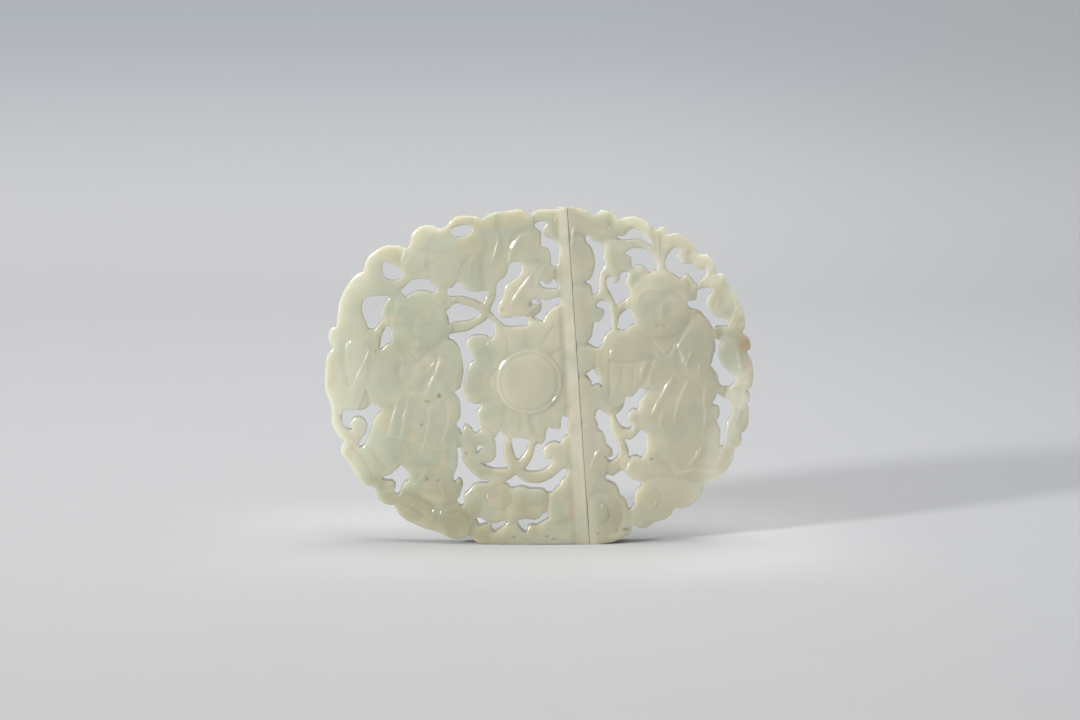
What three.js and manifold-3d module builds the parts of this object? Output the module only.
// A two-piece openwork jade belt buckle, standing on its lower edge as it is shown.
// Millimetres, +Z up, the carved front faces -Y and the wearer's side faces +Y.
// The left half laps over the right half along a straight seam. A tongue on the back of the
// right half passes behind the flower, and its hook sits in a socket in the left half's back.

import * as THREE from 'three';
import { mergeVertices } from 'three/addons/utils/BufferGeometryUtils.js';
import Module from 'manifold-3d';

// Driving sizes of the plaque
const plaqueWidth = 96;
const plateThickness = 4.2;
const bendRadius = 170;          // the plaque curves round the wearer's waist
const reliefHeight = 2.2;        // the highest carving over the plate's face

// Where the two halves meet
const rightStep = 0.9;           // the right half's face lies this far behind the left's
const lapWidth = 2.4;            // the left half's edge laps this far over the right half
const lapThickness = 2.3;        // stone left in the left half's edge over the lap
const lapGap = 0.4;
const fitGap = 0.3;
const edgeBandWidth = 2.6;       // the smooth raised band along the left half's edge
const edgeBandRise = 0.35;

// The tongue and its hook
const tongueThickness = 2.6;
const hookWidth = 3;
const hookHeight = 7;
const hookReach = 2.7;           // how far the hook enters the left half's back
const hookLeanDegrees = 8;
const hookRoot = 1.6;            // how deep the hook is rooted in the tongue

// The button studs on the back, which hold the two ends of the belt
const studHeadRadius = 6.3;
const studNeckRadius = 3.9;
const studHeadThickness = 2.4;
const studProud = 4.2;           // the studs' faces stand this far behind the plaque's ends
const studRoot = 1;
// The head's outline: shares of its radius, with the shares of its thickness
const studHeadShares = [[0.92, 0], [1, 0.3], [1, 0.6], [0.88, 1]];

// The flower's centre
const discRadius = 6.3;
const discRise = 1.7;
const discGrooveRadius = 0.32;
// The domed face: shares of the disc's radius, with the shares of its rise
const discFaceShares = [[0, 1], [0.5, 0.95], [0.85, 0.82], [1, 0.74]];

// Working values
const overrun = 6;
const formSinkShare = 0.28;      // each raised form is widest at this share of the plate's depth
const formBackShare = 0.92;      // and it reaches back to this share of it
const bendFacets = 27;
const formFacets = 13;
const formRings = 6;
const roundFacets = 32;
const grooveFacets = 6;
const weldTolerance = 0.0001;

// Places read by eye from the photograph, in its own pixels
const rimWidthPixels = 432;
const centrePixel = 539;
const basePixel = 547;
const seamTopPixel = [567, 207];
const seamBasePixel = [590, 547];
const discCentrePixel = [529.5, 381];
const hookPixel = [523, 381];
const leftStudPixel = [420, 385];
const rightStudPixel = [680, 372];

const leftRimPixels = [
  [567, 207], [557, 208], [550, 209], [545, 208], [538, 209], [533, 211], [530, 215], [527, 213],
  [524, 210], [520, 208], [513, 208], [508, 210], [500, 211], [495, 211], [491, 213], [485, 216],
  [481, 217.5], [478, 216], [472, 215], [465, 215], [458, 216], [452, 219], [448, 224], [445, 227],
  [440, 228], [433, 225], [428, 225], [420, 227], [415, 231], [412, 235], [411, 240], [410, 245],
  [407, 248], [405, 247], [400, 246], [392, 245], [384, 247], [378, 250], [370, 256], [366, 262],
  [363, 272], [358, 275], [352, 280], [345, 290], [341, 298], [338, 306], [337, 314], [336, 322],
  [335, 329], [330, 331], [327.5, 336], [327, 341], [329, 347], [332, 350], [328, 355], [325, 361],
  [324, 368], [323, 378], [323, 388], [324, 396], [327, 403], [329, 410], [330, 418], [329.5, 424],
  [330.5, 430], [334, 437], [338, 442], [342, 445], [340, 450], [339, 456], [340.5, 461],
  [345, 465], [348, 469], [351, 474], [355, 480], [359, 486], [363, 490], [370, 491], [373, 493],
  [374, 498], [377, 503], [382, 507], [387, 509], [392, 509], [395, 513], [397, 517], [401, 521],
  [407, 525], [415, 528.5], [424, 532], [432, 534], [438, 535.5], [443, 538], [450, 541],
  [458, 542], [464, 540.5], [468, 538.5], [471, 540], [474, 543], [479, 546], [486, 547],
  [590, 547],
];

const rightRimPixels = [
  [567, 207], [575, 206.5], [582, 208], [588, 210], [592, 214], [596, 213], [600, 210], [606, 210],
  [612, 212], [615, 214.5], [618, 218.5], [624, 217], [632, 216], [640, 218], [646, 221],
  [651, 225], [654, 229], [658, 229], [660, 227], [664, 227], [665.5, 233], [670, 234], [676, 233],
  [682, 236], [687, 239], [691, 243], [695, 247], [697, 252], [699, 255], [703, 255], [708, 256],
  [712, 260], [715, 265], [716, 271], [717, 275], [722, 275], [725, 277], [726, 282], [729, 288],
  [733, 293], [737, 298], [740, 304], [742.5, 310], [745, 317], [746, 324], [746, 330],
  [743.5, 336], [747, 339], [750.5, 343], [752, 348], [752, 352], [748.5, 354], [750, 359],
  [753, 364], [754.5, 370], [755, 378], [754.5, 385], [753.5, 390], [750, 393.5], [748.5, 395],
  [751, 398], [752, 402], [751, 406], [748.5, 407.5], [750, 412], [751, 418], [750.5, 425],
  [750, 430], [747, 435], [742.5, 438.5], [743.5, 442], [743.5, 447], [740.5, 451], [736, 452.5],
  [736, 458], [735, 464], [732.5, 469], [729, 474.5], [724, 479.5], [718.5, 484.5], [711, 488],
  [704.5, 488.5], [704.5, 493], [703.5, 498], [699, 504], [691, 510], [684, 512], [676, 512.5],
  [673, 516], [671.5, 519], [666, 522], [658, 524], [652, 526], [648, 529], [643, 531.5],
  [637, 533], [632, 536], [625, 539], [618, 542], [612, 544.5], [604, 546], [597, 547], [575, 547],
  [552, 211],
];

// The openings that are cut right through, from the top left to the bottom right of each half
const leftOpeningPixels = {
  topEyelet: [
    [450, 231], [453, 228], [458, 225.5], [465, 224.5], [471, 226], [473, 228], [471, 231],
    [467, 234.5], [462, 236], [456, 236], [452, 234],
  ],
  leafHole: [
    [384, 262], [391, 264], [398, 268], [403, 273], [402, 277], [398, 280], [393, 281], [388, 280],
    [384, 277], [382.5, 270],
  ],
  overHead: [
    [401, 291], [405, 287], [409, 283], [413, 280], [420, 279], [427, 279], [431, 282], [435, 286],
    [437, 290], [433, 293], [427, 291], [421, 290.5], [415, 292], [409, 295], [406, 297.5],
    [403, 295],
  ],
  besideHead: [
    [364, 300], [370, 298], [378, 297], [388, 297], [387, 301], [384, 306], [382, 311], [381, 316],
    [384, 319.5], [380, 323], [377, 327], [374, 330.5], [368, 330.5], [366, 326], [363, 319],
    [361.5, 312], [362, 305],
  ],
  underHead: [
    [386, 328], [390, 328.5], [390.5, 336], [390.5, 344], [386, 346], [382, 350], [379, 351],
    [380, 345], [381, 338], [384, 331],
  ],
  overUpperStem: [
    [448, 288], [452, 287], [456, 283], [459, 281], [462, 284.5], [466, 288], [472, 290.5],
    [480, 290.5], [486, 290], [487, 294], [485, 298], [483, 302], [480, 302], [476, 299.5],
    [470, 298], [462, 296], [449, 296],
  ],
  insideUpperStem: [
    [452, 305], [456, 303], [463, 304], [469, 305.5], [475, 308], [480, 311], [478, 315],
    [474, 318], [470, 320], [463, 321], [455, 322], [450, 324], [448.5, 318], [446, 311],
    [450, 308],
  ],
  besideFlower: [
    [487, 318], [490, 318.5], [492.5, 322], [494.5, 327], [494.5, 333], [492, 338], [489, 337],
    [485, 335], [478, 334.5], [472, 336], [468, 339], [466, 343.5], [468, 348], [470.5, 351],
    [472, 356], [474.5, 360], [471.5, 362], [469, 366], [467, 370], [465.5, 375], [464.5, 380],
    [463, 385], [462.5, 390], [463.5, 394.5], [466, 399], [470, 402], [475, 404], [481, 403.5],
    [480, 408], [477, 412], [477, 418], [478, 423], [480, 428], [480, 431.5], [476, 434],
    [473.5, 433], [472, 429.5], [469, 427], [465, 425.5], [463.5, 428], [462, 432], [461, 436.5],
    [460, 431], [457.5, 429.5], [456, 425], [459, 420], [460.5, 415], [460.5, 408], [459.5, 402],
    [457, 397.5], [454, 393], [457, 390], [460, 389], [461, 385], [462.5, 379], [463.5, 373],
    [463, 366], [462, 359], [461, 353], [459, 348], [456.5, 343.5], [453, 340.5], [449, 338.5],
    [449.5, 334], [454, 333], [461, 332], [466, 331], [471, 329], [476, 326], [481, 323],
    [485, 320.5],
  ],
  roundTopLeaf: [
    [511, 262], [521, 261], [521.5, 270], [518.5, 275], [513, 279], [508, 282.5], [505.5, 286],
    [504, 292], [502, 298], [499, 303], [498, 308], [498.5, 312], [501, 316], [505, 317],
    [510, 317], [515, 315], [521, 315.5], [528, 316], [528, 321], [527, 325], [520, 325.5],
    [510, 326], [505, 325], [501, 322], [497, 318], [494, 314.5], [490.5, 311], [491.5, 306],
    [494, 301], [496, 296], [496.5, 290], [497, 284], [499.5, 280], [504, 276.5], [507, 271.5],
    [509, 266],
  ],
  topBesideBand: [
    [534, 224], [538, 221], [543, 220], [547, 222], [543.5, 226], [542.5, 230], [545, 235],
    [550, 237], [556, 241], [559, 245.5], [558.5, 255], [558, 262], [555, 266], [551.5, 264],
    [551, 257], [549.5, 251], [547, 247.5], [541.5, 246], [541, 240], [541, 232], [538, 229],
  ],
  leafTip: [
    [539, 280], [543, 279.5], [546, 283], [550, 281.5], [554, 278], [556.5, 282], [559, 286],
    [556, 288], [550, 288], [544, 287], [540, 283.5],
  ],
  leafScroll: [
    [531, 299], [535, 298], [541, 298.5], [549, 298.5], [556, 296.5], [560, 297], [560, 303],
    [556, 305], [552, 307.5], [548, 312], [545, 316], [543, 320.5], [539, 319.5], [534, 316.5],
    [538, 313], [541, 309], [541.5, 304], [540, 300.5], [537, 300.5], [536, 304], [533, 303],
  ],
  sideScroll: [
    [342, 414], [347, 413], [354, 413.5], [361, 413], [365, 411], [368, 408], [371, 405],
    [374, 408], [379, 413], [377, 416.5], [374, 420], [372, 424], [370.5, 429], [369.5, 435],
    [368, 442], [366.5, 448], [362, 449], [359.5, 450.5], [357, 446.5], [361, 441], [364, 437],
    [366, 432.5], [366, 428], [364, 424.5], [361, 421.5], [357, 420.5], [353, 421.5],
    [350, 424.5], [349, 428.5], [351, 432], [349, 434], [344, 432.5], [341, 429], [340, 424],
    [340.5, 419],
  ],
  lowerLeft: [
    [400, 467.5], [403, 471], [406, 475], [408, 479.5], [408, 483.5], [404, 485], [402, 488],
    [400, 492], [399, 496], [396, 498.5], [393, 496], [394, 491.5], [394.5, 487.5], [391, 484.5],
    [386, 484.5], [381, 483], [383.5, 480], [387, 479], [390.5, 477], [393.5, 474], [397, 471],
  ],
  overCloud: [
    [457, 449], [460.5, 449], [461, 454], [461.5, 459], [463, 463], [466, 467.5], [469.5, 471.5],
    [473, 475.5], [477, 478.5], [481, 480.5], [486, 481.2], [490.5, 481], [488, 484],
    [481, 484.3], [477, 485], [473, 487], [470.5, 490], [468, 493], [464.5, 496], [463.5, 500],
    [463.5, 507], [460, 508], [457, 504.5], [456, 501.5], [459, 498.5], [460.5, 494], [462, 489],
    [462.5, 484], [460, 480.5], [457, 481.5], [455, 484], [453, 482], [453.5, 477], [455, 472.5],
    [457, 467], [457.5, 460], [457, 454],
  ],
  scrollEye: [
    [477, 446.5], [480, 446], [482.5, 447.5], [483, 449.5], [480.5, 451], [478.5, 453],
    [476, 453.5], [477, 450],
  ],
  leftOfRing: [
    [500, 430], [502, 433.5], [504.5, 437.5], [504, 443], [503.5, 449], [503.5, 455], [504, 461],
    [506, 466], [508, 469], [503, 470], [495, 470], [488, 468], [483, 465.5], [481.5, 464],
    [487, 464], [491, 462.5], [494.5, 459], [496, 455], [496, 449], [495.5, 444], [494, 441],
    [493.5, 439], [496, 436.5], [498, 434],
  ],
  insideRing: [
    [512, 438], [520, 438], [526, 439], [529, 441.5], [528, 446], [526, 451], [523, 456],
    [520, 459.5], [518, 461], [515.5, 458.5], [513.5, 452], [512, 446],
  ],
  rightOfRing: [
    [563, 416], [568, 418], [567.5, 425], [567, 431], [568, 435], [565, 437], [562.5, 440],
    [560, 444], [556, 442.5], [551, 443], [547.5, 445], [544.5, 448], [543, 452], [544.5, 456.5],
    [547, 459], [551.5, 459.5], [551.5, 463], [549, 467], [545, 470], [540, 472.3], [533, 473],
    [527, 472], [524, 470], [527, 467], [530, 462], [532.5, 457], [534, 451.5], [535.5, 446.5],
    [537, 443.5], [540, 444.5], [543.5, 442.5], [545.5, 438.5], [546.5, 432], [548, 427.5],
    [553, 428.5], [560, 429], [561, 423], [561.5, 418.5],
  ],
  underRing: [
    [504, 483.5], [508, 481], [511.5, 479], [515, 476], [518, 477.5], [521, 480.5], [526, 483],
    [533, 484.2], [540, 484], [546, 482], [551, 479.5], [556, 475.5], [560.5, 471.5],
    [563, 469.5], [567.5, 471], [567, 474.5], [566, 478], [562, 481.5], [559.5, 486.5],
    [555, 490.5], [551.5, 494], [549, 494.5], [546, 492.5], [543, 490.5], [536, 490], [530, 490],
    [524, 488], [519, 488], [514, 489.5], [511, 489], [508, 486],
  ],
  underCloudLeft: [
    [476, 520], [480, 520], [484, 522.5], [488, 525.5], [483, 527], [479, 528], [477.5, 524.5],
  ],
  underCloud: [
    [491, 526], [496, 525], [501, 523], [505, 522.8], [507, 524.3], [504, 528], [500, 531],
    [495, 534], [492, 531.5],
  ],
  underCloudRight: [
    [518, 522.5], [524, 520.5], [530, 521], [536, 521], [541, 518], [544, 514], [547, 516],
    [549.5, 519.5], [545, 522.5], [540, 525.5], [537, 527], [531, 527], [528, 529], [527, 533],
    [525, 534.5], [521, 530.5], [518.5, 526.5],
  ],
};

const rightOpeningPixels = {
  topBesideSeam: [
    [585, 235], [588, 235], [591, 238.5], [595, 240.5], [600, 242], [604, 245], [604, 250],
    [603, 257], [605, 263], [603, 267.5], [600, 271.5], [599, 278], [598.5, 284], [599, 289],
    [596, 292.5], [593, 294.5], [592, 290], [591, 285.5], [588, 283.5], [585, 281], [590, 278],
    [593, 272], [594.5, 266], [594.5, 258], [592.5, 250.5], [589.5, 245], [586, 241],
  ],
  underTopLeaf: [
    [616, 235], [620, 236], [625, 234], [629, 229.5], [633, 228], [638, 231], [643, 235],
    [648, 240], [652.5, 246], [648, 244.5], [643, 241], [638, 239], [630, 239], [622, 239.5],
    [617, 237.5],
  ],
  leftOfStalk: [
    [624, 253.5], [628, 250], [633, 248], [640, 248], [646, 250], [650, 254], [654, 259],
    [657, 265], [656, 270], [652.5, 270], [649.5, 273], [647, 270], [644, 266.5], [640, 265],
    [636, 265], [632, 267.5], [631, 262], [631, 257.5], [627, 255],
  ],
  rightOfStalk: [
    [665, 262], [667, 256], [670, 251.5], [674, 248], [678, 249], [678, 253], [676, 256.5],
    [678.5, 259], [680.5, 263], [684, 264], [690, 264.5], [691, 262], [693, 266], [696, 269],
    [700, 271], [705, 269.5], [706.5, 274], [704, 278.5], [700, 281.5], [697, 284.5], [694, 283],
    [692, 279], [689, 276], [686, 275], [683, 276.5], [680, 279], [676, 276.5], [671, 273.5],
    [667, 270.5], [665, 266.5],
  ],
  besideHair: [
    [608, 276], [612, 277], [614, 282.5], [619, 280], [620, 273.5], [624, 271.5], [629, 271],
    [626.5, 277], [625.5, 283], [628, 287], [629.5, 291], [629, 296], [626, 299], [622, 301],
    [618, 304], [616, 305.3], [614, 300], [611, 294.5], [608, 289.5], [606.5, 285.5],
    [606, 280.5],
  ],
  overShoulder: [
    [597, 303], [600, 300.3], [604, 300], [607.5, 302], [609.5, 306], [610.5, 312], [611, 319],
    [612, 325], [612.5, 328], [608.5, 331], [605, 335], [603, 340], [602, 345], [599, 347.5],
    [595, 347.5], [590.5, 344.5], [587.5, 343], [590, 339], [592, 335], [592.5, 329], [594, 324],
    [594, 320.5], [598, 321.5], [601, 318.5], [603.5, 314], [604, 310.5], [601, 308.3],
    [598, 307.5], [595.5, 305],
  ],
  besideCheek: [
    [629, 307], [630.5, 312], [633, 317], [635.5, 321], [634, 324.3], [630, 325.5], [627, 328.5],
    [624, 330.5], [620, 329.5], [617, 328.5], [618, 322], [619, 316.5], [622, 312.5], [625.5, 310],
  ],
  rightOfHead: [
    [698, 291], [703, 289.3], [711, 289.5], [712.5, 293], [709, 296.5], [707, 300], [706.5, 306],
    [709, 311], [712, 315], [717, 318], [722, 319.5], [726, 321.5], [728.5, 325], [728, 328.3],
    [719, 328.3], [716, 329.5], [714, 331.3], [712, 328], [709, 323], [705, 318], [701, 313.5],
    [696, 311], [690.5, 309.5], [688, 306], [688, 301.5], [694, 301], [697, 298], [697, 294],
  ],
  rightOfArm: [
    [714.5, 341], [718, 341.3], [722.5, 344.3], [720, 348.5], [719, 353], [719, 360], [721, 365],
    [724, 369], [729, 373.5], [733, 377], [736.5, 381], [736.3, 385], [734, 388], [731, 390.3],
    [726, 390.3], [721.5, 388.5], [720, 385], [719, 380], [716, 375], [713, 370.5], [711, 368],
    [713, 363.5], [714, 358], [716, 352], [716, 346],
  ],
  rightOfRobe: [
    [718, 396], [722, 399], [726.5, 401.5], [730.5, 405.5], [733.5, 411], [734.3, 415.5],
    [732, 420.5], [729, 425.5], [728, 431], [727, 438], [727, 445], [726, 448.3], [724, 451.5],
    [721, 449], [721, 445], [722, 438.5], [721, 432], [718.5, 427], [717, 424], [720.3, 421],
    [721, 415.5], [720, 410.5], [717, 409.3], [713, 407], [715, 403.5], [717, 400],
  ],
  besideSeam: [
    [593, 368.3], [595.5, 372.5], [598.5, 377.5], [600.5, 382.5], [602.5, 387], [599, 384.5],
    [595.5, 384.8], [592.5, 386.3], [591, 381.5], [588, 377], [585.5, 374.3], [589.5, 371],
  ],
  underElbow: [
    [640, 389], [645, 390], [649.5, 389], [646, 393.5], [642, 398.5], [640, 403], [639, 408.3],
    [637, 411], [633, 410], [629.5, 413.3], [627.5, 418], [628.5, 422.5], [632, 424],
    [633, 426.5], [630.5, 429.5], [627, 430.2], [623, 428.8], [619.5, 425], [617, 421],
    [616, 416], [618.5, 413], [622, 410], [624, 405.5], [625, 400.5], [626.5, 397],
    [632, 397.3], [636, 393.3],
  ],
  lowerScroll: [
    [597, 410.5], [600.5, 410], [604.5, 413], [609, 416], [609.5, 421], [610.5, 427], [612, 433],
    [614.5, 438.5], [617.5, 444], [619.3, 450], [619, 456], [616, 460], [612, 463],
    [608.5, 461.5], [606, 457.3], [610, 458.3], [613, 456.5], [612.5, 452], [610, 449],
    [607, 446], [606, 441], [604.5, 437], [602, 433], [598.5, 430.5], [598.5, 427], [597, 423],
    [595, 419], [596, 415],
  ],
  besideKnee: [
    [641, 431], [644.5, 433], [646.5, 436], [646.5, 443], [647, 450], [645, 455.5], [642, 460],
    [638, 458], [634, 458], [629, 459.3], [629, 453], [627, 447], [624.5, 442], [624.5, 440],
    [630.5, 440.7], [635, 438], [638.5, 434],
  ],
  lowerRight: [
    [606, 477.5], [608.5, 476], [613, 477.5], [618, 474.5], [623, 472], [627, 475.5], [631, 480],
    [637, 482.3], [642.5, 486.5], [642, 488.7], [638, 491.5], [636, 495.5], [635.3, 501],
    [635.3, 507], [632, 510.5], [629.5, 512.5], [628, 508], [626, 503], [622, 499.3], [620, 495],
    [618, 490], [614.5, 486], [610.5, 483.8], [607, 482],
  ],
};

const tonguePixels = [
  [606, 349], [606, 408], [580, 411], [548, 400], [514, 400], [514, 362], [548, 362], [578, 348],
];

// Carved forms that stand over the face: the centre and half sizes in pixels, the turn in
// degrees anticlockwise from the front, and the share of the relief height that each rises
const leftFormPixels = {
  head: { at: [419, 319], half: [30, 28], turn: 0, riseShare: 1 },
  leftHairKnot: { at: [391, 309], half: [9, 11], turn: 0, riseShare: 0.75 },
  rightHairKnot: { at: [441, 299], half: [9, 8], turn: 0, riseShare: 0.75 },
  chest: { at: [418, 372], half: [40, 31], turn: 0, riseShare: 0.75 },
  rightSleeve: { at: [446, 370], half: [16, 33], turn: -6, riseShare: 0.9 },
  leftSleeve: { at: [392, 374], half: [19, 32], turn: 12, riseShare: 0.85 },
  robe: { at: [419, 437], half: [37, 47], turn: 0, riseShare: 0.7 },
  leftRobeFold: { at: [388, 432], half: [15, 34], turn: -8, riseShare: 0.75 },
  knee: { at: [430, 490], half: [30, 25], turn: 0, riseShare: 0.8 },
  foot: { at: [461, 523], half: [26, 17], turn: -8, riseShare: 0.7 },
  heel: { at: [409, 512], half: [30, 15], turn: -20, riseShare: 0.6 },
  sideLeaf: { at: [350, 374], half: [25, 38], turn: 0, riseShare: 0.6 },
  rimLeaf: { at: [349, 310], half: [15, 28], turn: -14, riseShare: 0.6 },
  topLeftLeaf: { at: [383, 255], half: [19, 11], turn: 15, riseShare: 0.55 },
  topLeftLobe: { at: [366, 285], half: [16, 12], turn: 40, riseShare: 0.5 },
  topLeaf: { at: [447, 259], half: [44, 30], turn: -4, riseShare: 0.85 },
  topLeafLobe: { at: [487, 263], half: [23, 29], turn: 0, riseShare: 0.8 },
  topLeafTip: { at: [500, 232], half: [27, 20], turn: 8, riseShare: 0.7 },
  topBud: { at: [524, 236], half: [17, 25], turn: 0, riseShare: 0.6 },
  smallLeaf: { at: [519, 294], half: [19, 22], turn: -20, riseShare: 0.7 },
  smallLeafTop: { at: [536, 265], half: [14, 18], turn: 0, riseShare: 0.55 },
  leftPetal: { at: [482, 382], half: [20, 22], turn: 0, riseShare: 0.6 },
  smallPetal: { at: [482, 346], half: [15, 12], turn: 0, riseShare: 0.5 },
  topLeftPetal: { at: [510, 339], half: [18, 17], turn: 30, riseShare: 0.6 },
  topRightPetal: { at: [548, 335], half: [18, 22], turn: -30, riseShare: 0.6 },
  lowerLeftPetal: { at: [492, 417], half: [16, 17], turn: 0, riseShare: 0.55 },
  lowerPetal: { at: [521, 424], half: [18, 14], turn: 0, riseShare: 0.6 },
  lowerRightPetal: { at: [549, 414], half: [17, 14], turn: 20, riseShare: 0.55 },
  rightPetal: { at: [566.3, 378.6], half: [12, 30], turn: 0, riseShare: 0.4 },
  leftScroll: { at: [487, 452], half: [10, 12], turn: 0, riseShare: 0.4 },
  rightScroll: { at: [556, 452], half: [13, 10], turn: 0, riseShare: 0.4 },
  cloudLeft: { at: [486, 503], half: [24, 19], turn: 0, riseShare: 0.7 },
  cloudRight: { at: [524, 505], half: [23, 17], turn: 0, riseShare: 0.7 },
  lowerLeaf: { at: [358, 455], half: [19, 20], turn: -30, riseShare: 0.5 },
  lowerLobe: { at: [371, 472], half: [19, 18], turn: -30, riseShare: 0.5 },
};

const rightFormPixels = {
  head: { at: [662, 304], half: [31, 32], turn: 0, riseShare: 1 },
  leftHairKnot: { at: [634, 279], half: [10, 10], turn: 0, riseShare: 0.75 },
  rightHairKnot: { at: [687, 284], half: [10, 9], turn: 0, riseShare: 0.75 },
  chest: { at: [655, 362], half: [44, 30], turn: 0, riseShare: 0.75 },
  leftSleeve: { at: [628, 358], half: [23, 29], turn: -8, riseShare: 0.85 },
  rightSleeve: { at: [693, 348], half: [21, 38], turn: 8, riseShare: 0.9 },
  robeSide: { at: [604, 382], half: [12, 30], turn: 0, riseShare: 0.4 },
  robe: { at: [682, 425], half: [37, 50], turn: -10, riseShare: 0.75 },
  lap: { at: [657, 415], half: [25, 30], turn: -24, riseShare: 0.7 },
  knee: { at: [668, 455], half: [28, 22], turn: 0, riseShare: 0.75 },
  hem: { at: [700, 470], half: [30, 19], turn: 30, riseShare: 0.6 },
  foot: { at: [664, 496], half: [28, 18], turn: 14, riseShare: 0.65 },
  lowerLeaf: { at: [606, 512], half: [20, 26], turn: 20, riseShare: 0.5 },
  topLeaf: { at: [605, 225], half: [22, 13], turn: 0, riseShare: 0.55 },
  topLeafArch: { at: [635, 224], half: [22, 8], turn: -20, riseShare: 0.5 },
  innerLeaf: { at: [616, 258], half: [10, 18], turn: 0, riseShare: 0.5 },
  seamLeafTop: { at: [586, 260], half: [10, 24], turn: 0, riseShare: 0.4 },
  seamLeafMiddle: { at: [591, 312], half: [12, 18], turn: 0, riseShare: 0.4 },
  seamLeafLow: { at: [592, 448], half: [13, 24], turn: 0, riseShare: 0.4 },
  rightTopLeaf: { at: [683, 247], half: [16, 13], turn: -30, riseShare: 0.6 },
  rimBud: { at: [705, 265], half: [12, 12], turn: 0, riseShare: 0.6 },
  rimLeafTop: { at: [725, 305], half: [17, 27], turn: 16, riseShare: 0.7 },
  rimLeafMiddle: { at: [738, 366], half: [15, 24], turn: 8, riseShare: 0.65 },
  rimLeafLow: { at: [741, 419], half: [12, 22], turn: -6, riseShare: 0.6 },
};

// Stems and rings that run at a lower level than the rest, with the share of the relief
// height by which their faces lie under the plate's face
const sunkenPixels = [
  {
    points: [[446.3, 294.2], [484.4, 300.4], [499.4, 318.3], [496.3, 326.4], [480.4, 312.3],
      [446.3, 331.3]],
    depthShare: 0.45,
  },
  {
    points: [[460.6, 437.4], [474.4, 437.4], [482.4, 461.6], [506.4, 470.4], [528.4, 474.4],
      [568.4, 470.4], [560.4, 488.3], [515.4, 478.3], [482.4, 482.3], [461.6, 461.6]],
    depthShare: 0.46,
  },
  {
    points: [[502.6, 435.7], [513.4, 437.3], [519.4, 457.6], [526.6, 438.4], [537.4, 442.4],
      [525.4, 472.4], [506.6, 469.4]],
    depthShare: 0.4,
  },
  { points: [[696.3, 279.4], [706.4, 277.4], [713.4, 290.4], [696.6, 292.3]], depthShare: 0.5 },
  { points: [[613.3, 303.4], [627.4, 298.3], [628.4, 308.3], [617.3, 316.3]], depthShare: 0.5 },
  { points: [[656.4, 247.6], [665.4, 247.6], [665.6, 267.7], [656.6, 267.7]], depthShare: 0.4 },
];

const wasm = await Module();
wasm.setup();

const pixelSize = plaqueWidth / rimWidthPixels;
const plaqueHeight = (basePixel - seamTopPixel[1]) * pixelSize;
const formSink = formSinkShare * plateThickness;
const formRoot = formBackShare * plateThickness - formSink;
const hookLean = THREE.MathUtils.degToRad(hookLeanDegrees);
const tongueFront = plateThickness + fitGap;
const tongueBack = tongueFront + tongueThickness;
const studFace = bendOffset(plaqueWidth / 2) + plateThickness + studProud;

function toX(pixel) {
  return (pixel - centrePixel) * pixelSize;
}

function toZ(pixel) {
  return (basePixel - pixel) * pixelSize;
}

// How far the bend carries the plaque's face back at a distance from its middle
function bendOffset(x) {
  return bendRadius - Math.sqrt(bendRadius ** 2 - x ** 2);
}

function asSolid(geometry) {
  geometry.deleteAttribute('normal');
  geometry.deleteAttribute('uv');
  const welded = mergeVertices(geometry, weldTolerance);
  return new wasm.Manifold(new wasm.Mesh({
    numProp: 3,
    vertProperties: welded.attributes.position.array,
    triVerts: new Uint32Array(welded.index.array),
  }));
}

function asMesh(name, solid, material) {
  const { vertProperties, triVerts } = solid.getMesh();
  const geometry = new THREE.BufferGeometry();
  geometry.setAttribute('position', new THREE.BufferAttribute(vertProperties, 3));
  geometry.setIndex(new THREE.BufferAttribute(triVerts, 1));
  geometry.computeVertexNormals();
  const mesh = new THREE.Mesh(geometry, material);
  mesh.name = name;
  return mesh;
}

// A straight prism through the plaque, from an outline in millimetres as X and Z
function prism(points, front = -overrun, back = studFace + overrun) {
  const shape = new THREE.Shape(points.map(([x, z]) => new THREE.Vector2(x, z)));
  const geometry = new THREE.ExtrudeGeometry(shape, { depth: back - front, bevelEnabled: false });
  geometry.rotateX(Math.PI / 2).translate(0, back, 0);
  return asSolid(geometry);
}

function pixelPrism(pixels, front, back) {
  return prism(pixels.map(([px, py]) => [toX(px), toZ(py)]), front, back);
}

// A sheet bent round the waist between two depths behind the plate's face
function bentSheet(frontDepth, backDepth) {
  const halfAngle = Math.asin((plaqueWidth / 2 + overrun) / bendRadius);
  const start = -Math.PI / 2 - halfAngle;
  const end = -Math.PI / 2 + halfAngle;
  const shape = new THREE.Shape();
  shape.absarc(0, bendRadius, bendRadius - frontDepth, start, end, false);
  shape.absarc(0, bendRadius, bendRadius - backDepth, end, start, true);
  const depth = plaqueHeight + 2 * overrun;
  const settings = { depth, bevelEnabled: false, curveSegments: bendFacets };
  const geometry = new THREE.ExtrudeGeometry(shape, settings);
  geometry.translate(0, 0, -overrun);
  return asSolid(geometry);
}

// The strip between two lines that run beside the seam
function seamStrip(leftOffset, rightOffset) {
  const lean = (seamTopPixel[0] - seamBasePixel[0]) / (seamBasePixel[1] - seamTopPixel[1]);
  const lineX = (z, offset) => toX(seamBasePixel[0]) + lean * z + offset;
  const low = -overrun;
  const high = plaqueHeight + overrun;
  return prism([
    [lineX(low, leftOffset), low], [lineX(low, rightOffset), low],
    [lineX(high, rightOffset), high], [lineX(high, leftOffset), high],
  ]);
}

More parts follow.
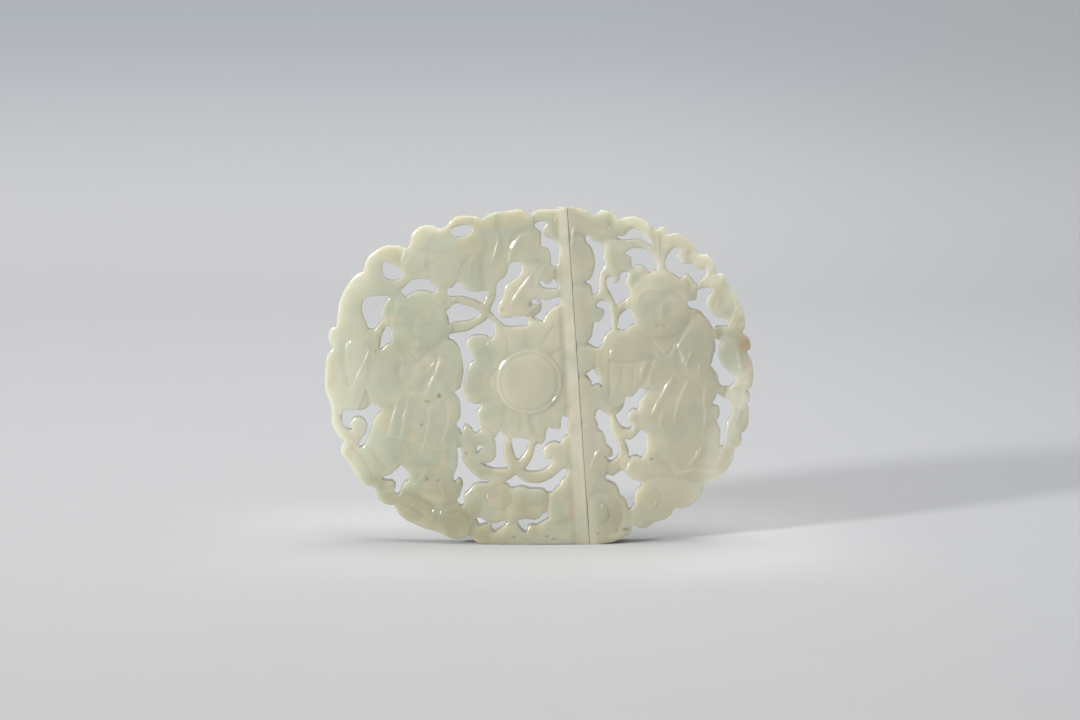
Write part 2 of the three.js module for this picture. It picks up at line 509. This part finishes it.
// A raised form with an oval outline, a crowned face and a flatter back inside the plate
function raisedForm({ at, half, turn, riseShare }, faceDepth) {
  const x = toX(at[0]);
  const crown = riseShare * reliefHeight + formSink;
  const geometry = new THREE.SphereGeometry(1, formFacets, formRings);
  const positions = geometry.attributes.position;
  for (let i = 0; i < positions.count; i += 1) {
    const y = positions.getY(i);
    positions.setY(i, y * (y < 0 ? crown : formRoot));
  }
  geometry.scale(half[0] * pixelSize, 1, half[1] * pixelSize);
  geometry.rotateY(THREE.MathUtils.degToRad(-turn));
  geometry.translate(x, bendOffset(x) + faceDepth + formSink, toZ(at[1]));
  return asSolid(geometry);
}

// A round solid about an axis from front to back, from radii and depths in rising depth
function turned(profile, pixel) {
  const points = profile.map(([radius, y]) => new THREE.Vector2(radius, y));
  const geometry = new THREE.LatheGeometry(points, roundFacets);
  geometry.translate(toX(pixel[0]), 0, toZ(pixel[1]));
  return asSolid(geometry);
}

// The disc at the flower's centre, slightly domed
function flowerDisc() {
  const face = bendOffset(toX(discCentrePixel[0]));
  const dome = discFaceShares.map(([radiusShare, riseShare]) => (
    [radiusShare * discRadius, face - riseShare * discRise]
  ));
  const root = face + formSink;
  return turned([...dome, [discRadius, root], [0, root]], discCentrePixel);
}

// The groove cut round the disc
function discGroove() {
  const x = toX(discCentrePixel[0]);
  const edgeRise = discFaceShares.at(-1)[1] * discRise;
  const geometry = new THREE.TorusGeometry(discRadius, discGrooveRadius, grooveFacets, roundFacets);
  geometry.rotateX(Math.PI / 2).translate(x, bendOffset(x) - edgeRise, toZ(discCentrePixel[1]));
  return asSolid(geometry);
}

// A belt stud: a round neck out of the plaque's back and a wider button head
function stud(pixel, backDepth) {
  const root = bendOffset(toX(pixel[0])) + backDepth - studRoot;
  const headStart = studFace - studHeadThickness;
  const head = studHeadShares.map(([radiusShare, thicknessShare]) => (
    [radiusShare * studHeadRadius, headStart + thicknessShare * studHeadThickness]
  ));
  return turned([
    [0, root], [studNeckRadius, root], [studNeckRadius, headStart], ...head, [0, studFace],
  ], pixel);
}

// A block along the hook's leaning line, from one depth to another behind the plate's face
function hookBlock(frontDepth, backDepth, clearance) {
  const x = toX(hookPixel[0]);
  const length = (backDepth - frontDepth) / Math.cos(hookLean);
  const middle = (frontDepth + backDepth) / 2 - plateThickness;
  const width = hookWidth + 2 * clearance;
  const height = hookHeight + 2 * clearance;
  const geometry = new THREE.BoxGeometry(width, length, height);
  geometry.rotateZ(hookLean);
  geometry.translate(
    x - middle * Math.tan(hookLean),
    bendOffset(x) + plateThickness + middle,
    toZ(hookPixel[1]),
  );
  return asSolid(geometry);
}

function join(solids) {
  return solids.reduce((whole, piece) => whole.add(piece));
}

function cutSunken(solid, faceDepth) {
  return sunkenPixels.reduce((rest, { points, depthShare }) => {
    const level = bentSheet(-overrun, faceDepth + depthShare * reliefHeight);
    return rest.subtract(pixelPrism(points).intersect(level));
  }, solid);
}

function cutOpenings(solid, openings) {
  return Object.values(openings).reduce((rest, pixels) => rest.subtract(pixelPrism(pixels)), solid);
}

function leftSection() {
  const edgeBand = seamStrip(-edgeBandWidth, 0).intersect(bentSheet(-edgeBandRise, plateThickness));
  const forms = Object.values(leftFormPixels).map((form) => raisedForm(form, 0));
  const blank = cutSunken(join([bentSheet(0, plateThickness), ...forms]), 0);
  const carved = join([blank, edgeBand, flowerDisc()]).subtract(discGroove());
  const shaped = cutOpenings(carved.intersect(pixelPrism(leftRimPixels)), leftOpeningPixels);
  const lapCut = seamStrip(-lapWidth, overrun).intersect(bentSheet(lapThickness, studFace + overrun));
  const socket = hookBlock(plateThickness - hookReach - fitGap, plateThickness + overrun, fitGap);
  return join([shaped.subtract(lapCut).subtract(socket), stud(leftStudPixel, plateThickness)]);
}

function rightSection() {
  const faceDepth = rightStep;
  const backDepth = rightStep + plateThickness;
  const forms = Object.values(rightFormPixels).map((form) => raisedForm(form, faceDepth));
  const blank = cutSunken(join([bentSheet(faceDepth, backDepth), ...forms]), faceDepth);
  const rim = pixelPrism(rightRimPixels);
  const carved = blank.intersect(rim).intersect(seamStrip(lapGap, plaqueWidth));
  const lip = bentSheet(lapThickness + lapGap, backDepth).intersect(rim)
    .intersect(seamStrip(lapGap - lapWidth, lapGap + lapThickness));
  const tongue = pixelPrism(tonguePixels).intersect(bentSheet(tongueFront, tongueBack));
  const hook = hookBlock(plateThickness - hookReach, tongueFront + hookRoot, 0);
  const shaped = cutOpenings(join([carved, lip, tongue, hook]), rightOpeningPixels);
  return join([shaped, stud(rightStudPixel, backDepth)]);
}

const jade = new THREE.MeshStandardMaterial({ color: 0xc3c4ab, roughness: 0.32, metalness: 0 });
const greenerJade = new THREE.MeshStandardMaterial({ color: 0xb6b698, roughness: 0.32, metalness: 0 });

const buckle = new THREE.Group();
buckle.add(asMesh('left_section', leftSection(), jade));
buckle.add(asMesh('right_section', rightSection(), greenerJade));

// The origin lies under the middle of the whole buckle
const bounds = new THREE.Box3().setFromObject(buckle);
const middle = bounds.getCenter(new THREE.Vector3());
buckle.position.set(-middle.x, -middle.y, -bounds.min.z);

export default buckle;
